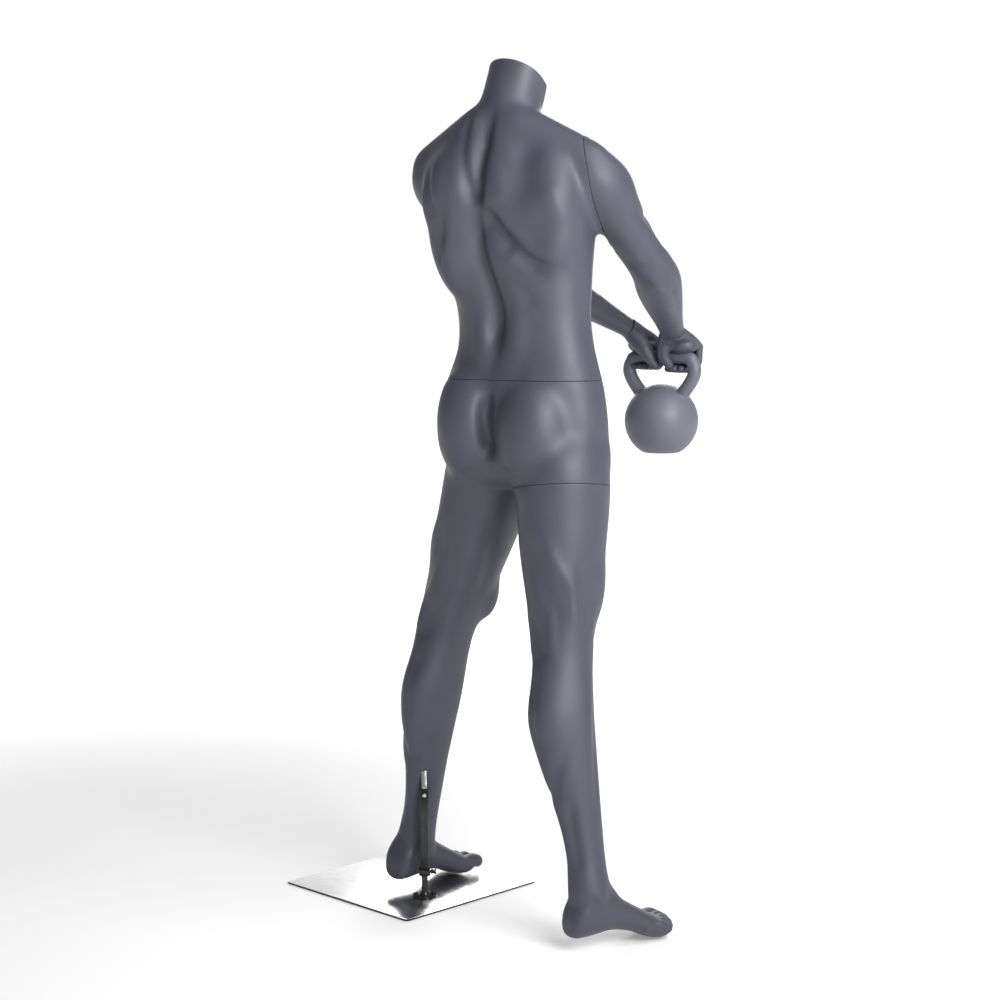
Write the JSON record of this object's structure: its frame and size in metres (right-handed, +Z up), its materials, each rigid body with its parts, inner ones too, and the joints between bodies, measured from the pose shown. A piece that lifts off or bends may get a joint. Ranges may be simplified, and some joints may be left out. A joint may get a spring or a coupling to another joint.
{
  "type": "sports display mannequin",
  "caption": "Headless athletic display mannequin in a wide stance, swinging a kettlebell in both hands, held by a calf rod on a square steel base plate.",
  "frame": {"origin": "centre of the square base plate's underside", "axes": "+Z up; the figure faces -Y with its chest turned a little to its left; its right side is -X"},
  "size_m": [0.7901, 0.726, 1.6302],
  "materials": {
    "shell_paint": "satin slate paint on moulded shell",
    "kettlebell_paint": "satin slate paint",
    "bulkhead_wood": "raw plywood",
    "black_steel": "gloss black powder coat",
    "zinc_steel": "zinc plated",
    "bare_steel": "bright bare steel",
    "polished_steel": "polished steel",
    "magnet": "nickel plated magnet"
  },
  "bodies": {
    "stand": {"base_plate": "polished_steel", "post": "black_steel", "flange_screw_1": "black_steel", "flange_screw_2": "black_steel", "flange_screw_3": "black_steel", "flange_screw_4": "black_steel"},
    "rod": {"calf_rod": "black_steel", "clamp_collar": "black_steel", "tongue": "bare_steel", "tongue_screw": "zinc_steel"},
    "thumb": {"thumb_screw": "black_steel"},
    "lower_body": {"pelvis_left_leg": "shell_paint", "waist_board_pelvis": "bulkhead_wood", "waist_spigot": "zinc_steel", "thigh_board_pelvis": "bulkhead_wood", "thigh_spigot": "zinc_steel", "calf_socket": "zinc_steel"},
    "upper_body": {"torso": "shell_paint", "waist_board_torso": "bulkhead_wood", "waist_bush": "zinc_steel", "shoulder_r_board_torso": "bulkhead_wood", "shoulder_r_spigot": "zinc_steel", "shoulder_l_board_torso": "bulkhead_wood", "shoulder_l_spigot": "zinc_steel"},
    "right_leg": {"leg_right": "shell_paint", "thigh_board_leg": "bulkhead_wood", "thigh_bush": "zinc_steel"},
    "right_arm": {"arm_right": "shell_paint", "shoulder_r_board_arm": "bulkhead_wood", "shoulder_r_bush": "zinc_steel", "arm_right_magnet": "magnet"},
    "left_arm": {"arm_left": "shell_paint", "shoulder_l_board_arm": "bulkhead_wood", "shoulder_l_bush": "zinc_steel", "arm_left_magnet": "magnet"},
    "grip": {"hand_right": "shell_paint", "hand_left": "shell_paint", "hand_right_disc": "bare_steel", "hand_left_disc": "bare_steel", "kettlebell": "kettlebell_paint"}
  },
  "joints": [
    {"name": "rod_slide", "type": "slide", "parent": "stand", "child": "rod", "axis": [0, 0, 1], "range_m": [0, 0.04]},
    {"name": "thumb_turn", "type": "hinge", "parent": "rod", "child": "thumb", "pos_m": [-0.094, 0.051, 0.054], "axis": [-0.7071, -0.7071, 0], "continuous": true},
    {"name": "figure_lift", "type": "slide", "parent": "rod", "child": "lower_body", "axis": [0.2559, -0.1896, 0.9479], "range_m": [0, 0.085]},
    {"name": "torso_lift", "type": "slide", "parent": "lower_body", "child": "upper_body", "axis": [0, 0, 1], "range_m": [0, 0.07]},
    {"name": "leg_slide", "type": "slide", "parent": "lower_body", "child": "right_leg", "axis": [-0.1342, 0.1074, -0.9851], "range_m": [0, 0.05]},
    {"name": "arm_right_slide", "type": "slide", "parent": "upper_body", "child": "right_arm", "axis": [-0.8352, -0.5219, 0.1736], "range_m": [0, 0.05]},
    {"name": "arm_left_slide", "type": "slide", "parent": "upper_body", "child": "left_arm", "axis": [0.7544, -0.633, -0.1736], "range_m": [0, 0.05]},
    {"name": "grip_slide", "type": "slide", "parent": "left_arm", "child": "grip", "axis": [0, -1, 0], "range_m": [0, 0.1]}
  ]
}
